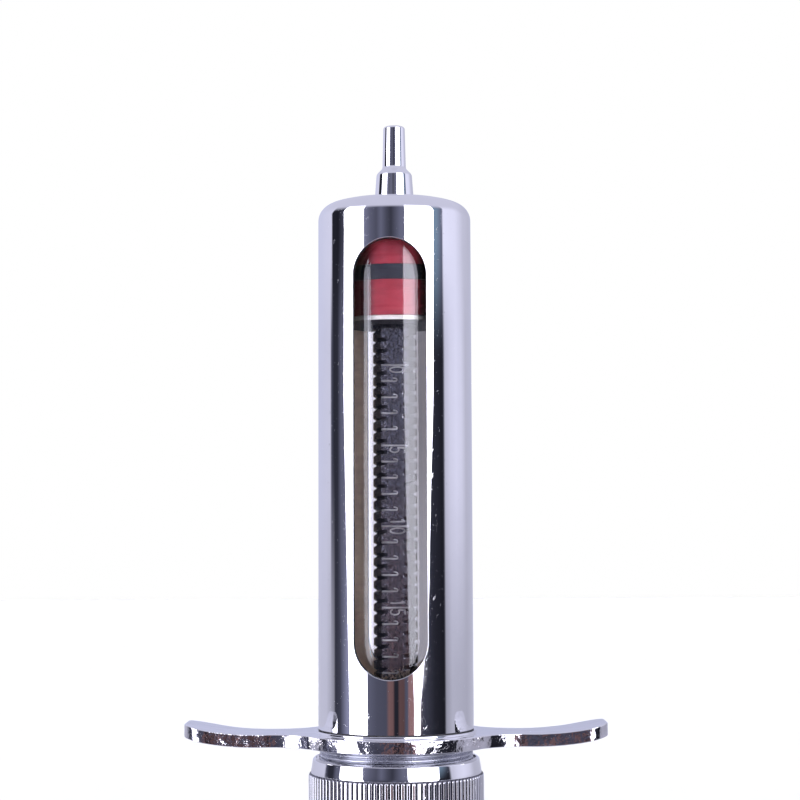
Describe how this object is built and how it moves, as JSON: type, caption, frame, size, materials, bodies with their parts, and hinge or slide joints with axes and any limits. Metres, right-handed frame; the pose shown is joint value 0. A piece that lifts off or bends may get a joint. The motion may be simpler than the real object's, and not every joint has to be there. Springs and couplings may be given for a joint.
{
  "type": "dosing syringe",
  "caption": "Metal-cased glass dosing syringe: windowed barrel, slip nozzle, finger flange, screw cap and threaded plunger rod with dose nut.",
  "frame": {"origin": "centre of the thumb button's face, the lowest point of the syringe, on the barrel's axis", "axes": "+Z along the barrel towards the nozzle, X along the finger flange's wings, -Y out of the window that faces the reader of the scale"},
  "size_m": [0.0756, 0.0346, 0.1742],
  "materials": {
    "chrome": "polished chrome plate on brass",
    "cast_chrome": "chrome plate over a lightly uneven casting",
    "rod_chrome": "chrome plate over a rolled thread, stamped scale",
    "steel": "turned",
    "brass": "turned",
    "glass": "clear",
    "gasket": "matte silicone",
    "red_silicone": "satin silicone",
    "black_rubber": "satin rubber"
  },
  "bodies": {
    "barrel": {"barrel_shell": "chrome", "nozzle": "chrome", "front_gasket": "gasket", "glass_tube": "glass", "finger_flange": "cast_chrome", "rear_gasket": "gasket"},
    "pressure_ring": {"pressure_ring": "steel"},
    "end_cap": {"end_cap": "chrome", "guide_bush": "brass"},
    "piston": {"piston_rear_washer": "chrome", "rear_seal": "red_silicone", "middle_seal": "black_rubber", "front_seal": "red_silicone"},
    "front_plate": {"piston_front_plate": "chrome"},
    "rod": {"piston_rod": "rod_chrome", "thumb_button": "chrome", "button_pin": "steel"},
    "dose_washer": {"dose_washer": "steel"},
    "dose_nut": {"dose_nut": "chrome"}
  },
  "joints": [
    {"name": "plunger_slide", "type": "slide", "parent": "barrel", "child": "piston", "axis": [0, 0, 1], "range_m": [-0.0873, 0]},
    {"name": "rod_turn", "type": "hinge", "parent": "piston", "child": "rod", "pos_m": [0, 0, 0.137], "axis": [0, 0, -1], "range_deg": [0, 180]},
    {"name": "piston_squeeze", "type": "slide", "parent": "piston", "child": "front_plate", "axis": [0, 0, -1], "range_m": [0, 0.00035], "deforming": ["front_seal", "middle_seal", "rear_seal"]},
    {"name": "cap_turn", "type": "hinge", "parent": "pressure_ring", "child": "end_cap", "pos_m": [0, 0, 0.05], "axis": [0, 0, -1], "range_deg": [0, 3240]},
    {"name": "cap_travel", "type": "slide", "parent": "barrel", "child": "pressure_ring", "axis": [0, 0, -1], "range_m": [0, 0.00675]},
    {"name": "nut_turn", "type": "hinge", "parent": "dose_washer", "child": "dose_nut", "pos_m": [0, 0, 0.0145], "axis": [0, 0, 1], "range_deg": [0, 2520]},
    {"name": "nut_travel", "type": "slide", "parent": "rod", "child": "dose_washer", "axis": [0, 0, 1], "range_m": [0, 0.01435]}
  ],
  "couplings": [
    {"joint": "piston_squeeze", "follows": "rod_turn", "m_per_rad": 0.00011141},
    {"joint": "cap_travel", "follows": "cap_turn", "m_per_rad": 0.00011937},
    {"joint": "nut_travel", "follows": "nut_turn", "m_per_rad": 0.00032627}
  ]
}
